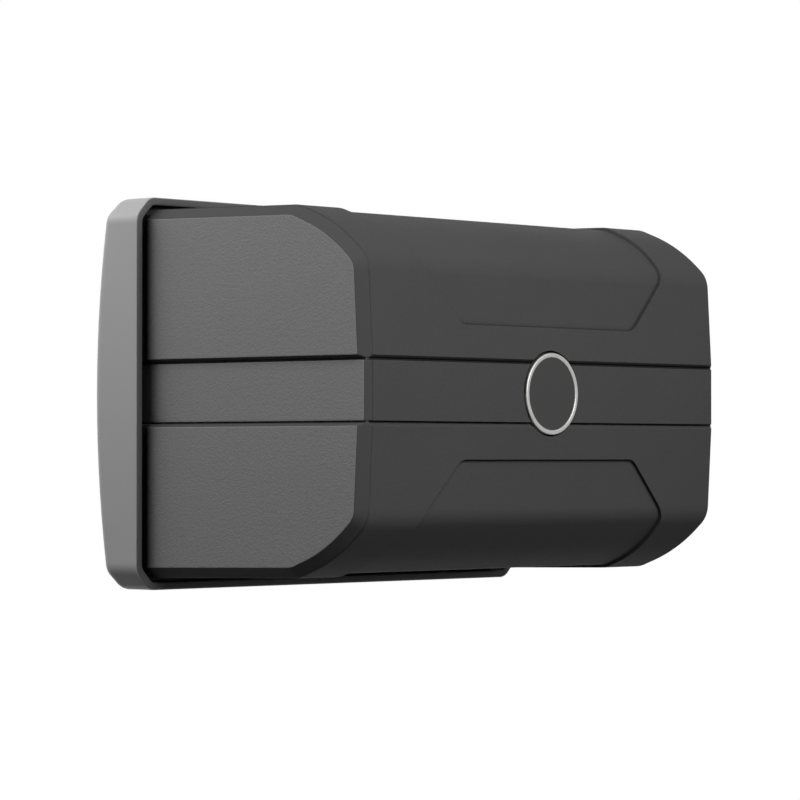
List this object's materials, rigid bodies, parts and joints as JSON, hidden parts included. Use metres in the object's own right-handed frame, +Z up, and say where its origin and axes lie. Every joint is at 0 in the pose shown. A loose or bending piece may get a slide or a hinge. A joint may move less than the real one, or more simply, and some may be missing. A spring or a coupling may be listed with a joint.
{
  "type": "launch monitor",
  "caption": "Ceiling-hung golf launch monitor: crowned front bezel with dark sensor window, grooved wrap-around rear housing, round badge, cameras, strobe lamps and fans inside.",
  "frame": {"origin": "centre of the four-hole ceiling mount, on the floor of the shallow pocket in the top of the housing that its inserts are flush with", "axes": "+Z up, out of the mount's seat; +Y forward, out of the sensor window; +X to the right seen from the badge side"},
  "size_m": [0.361, 0.2189, 0.2396],
  "materials": {
    "housing_plastic": "fine grain, dark grey",
    "side_plastic": "leather-like moulded texture, grey",
    "bezel_satin": "smooth satin, mid grey",
    "window_glass": "dark tinted, passes infrared",
    "gasket_rubber": "soft, black",
    "badge_metal": "bright satin",
    "badge_black": "satin, dark grey",
    "inner_black": "matt black",
    "insert_brass": "turned",
    "screw_steel": "zinc plated",
    "chassis_aluminium": "bare sheet",
    "circuit_board": "solder mask, dark green",
    "chip_black": "moulded package",
    "heat_sink_black": "black anodised",
    "capacitor_sleeve": "shrunk sleeve",
    "camera_black": "black anodised",
    "lens_glass": "coated",
    "emitter_resin": "infrared resin",
    "fan_plastic": "moulded, black",
    "port_plastic": "moulded, black",
    "button_plastic": "moulded, grey"
  },
  "bodies": {
    "housing": {"badge_disc": "badge_black", "badge_ring": "badge_metal", "bezel_screws": "screw_steel", "board_screws": "screw_steel", "board_standoffs": "insert_brass", "button_switch": "port_plastic", "cap_screws": "screw_steel", "chassis_plate": "chassis_aluminium", "chassis_screws": "screw_steel", "driver_board": "circuit_board", "exhaust_fan_frame": "fan_plastic", "fan_screws": "screw_steel", "front_bezel": "bezel_satin", "heat_sink": "heat_sink_black", "intake_fan_frame": "fan_plastic", "left_camera_board": "circuit_board", "left_camera_body": "camera_black", "left_camera_bracket": "chassis_aluminium", "left_lamp_board": "circuit_board", "left_lamp_heat_sink": "heat_sink_black", "left_lamp_leds": "emitter_resin", "left_lens_barrel": "camera_black", "left_lens_glass": "lens_glass", "left_side_cap": "side_plastic", "light_baffle": "inner_black", "main_board": "circuit_board", "memory_chips": "chip_black", "mount_inserts": "insert_brass", "network_jack": "port_plastic", "port_board": "circuit_board", "port_screws": "screw_steel", "power_inlet": "port_plastic", "processor": "chip_black", "rear_shell": "housing_plastic", "right_camera_board": "circuit_board", "right_camera_body": "camera_black", "right_camera_bracket": "chassis_aluminium", "right_lamp_board": "circuit_board", "right_lamp_heat_sink": "heat_sink_black", "right_lamp_leds": "emitter_resin", "right_lens_barrel": "camera_black", "right_lens_glass": "lens_glass", "right_side_cap": "side_plastic", "sensor_window": "window_glass", "strobe_capacitors": "capacitor_sleeve", "window_gasket": "gasket_rubber"},
    "exhaust_fan": {"exhaust_fan_rotor": "fan_plastic"},
    "intake_fan": {"intake_fan_rotor": "fan_plastic"},
    "power_button": {"power_button": "button_plastic"}
  },
  "joints": [
    {"name": "exhaust_fan_spin", "type": "hinge", "parent": "housing", "child": "exhaust_fan", "pos_m": [-0.089, -0.026, -0.0105], "axis": [0, 0, 1], "continuous": true},
    {"name": "intake_fan_spin", "type": "hinge", "parent": "housing", "child": "intake_fan", "pos_m": [0.089, -0.026, -0.20536], "axis": [0, 0, 1], "continuous": true},
    {"name": "power_button_press", "type": "slide", "parent": "housing", "child": "power_button", "axis": [0, 0, -1], "range_m": [0, 0.001], "stiffness_N_per_m": 200, "springref_m": -0.001}
  ]
}
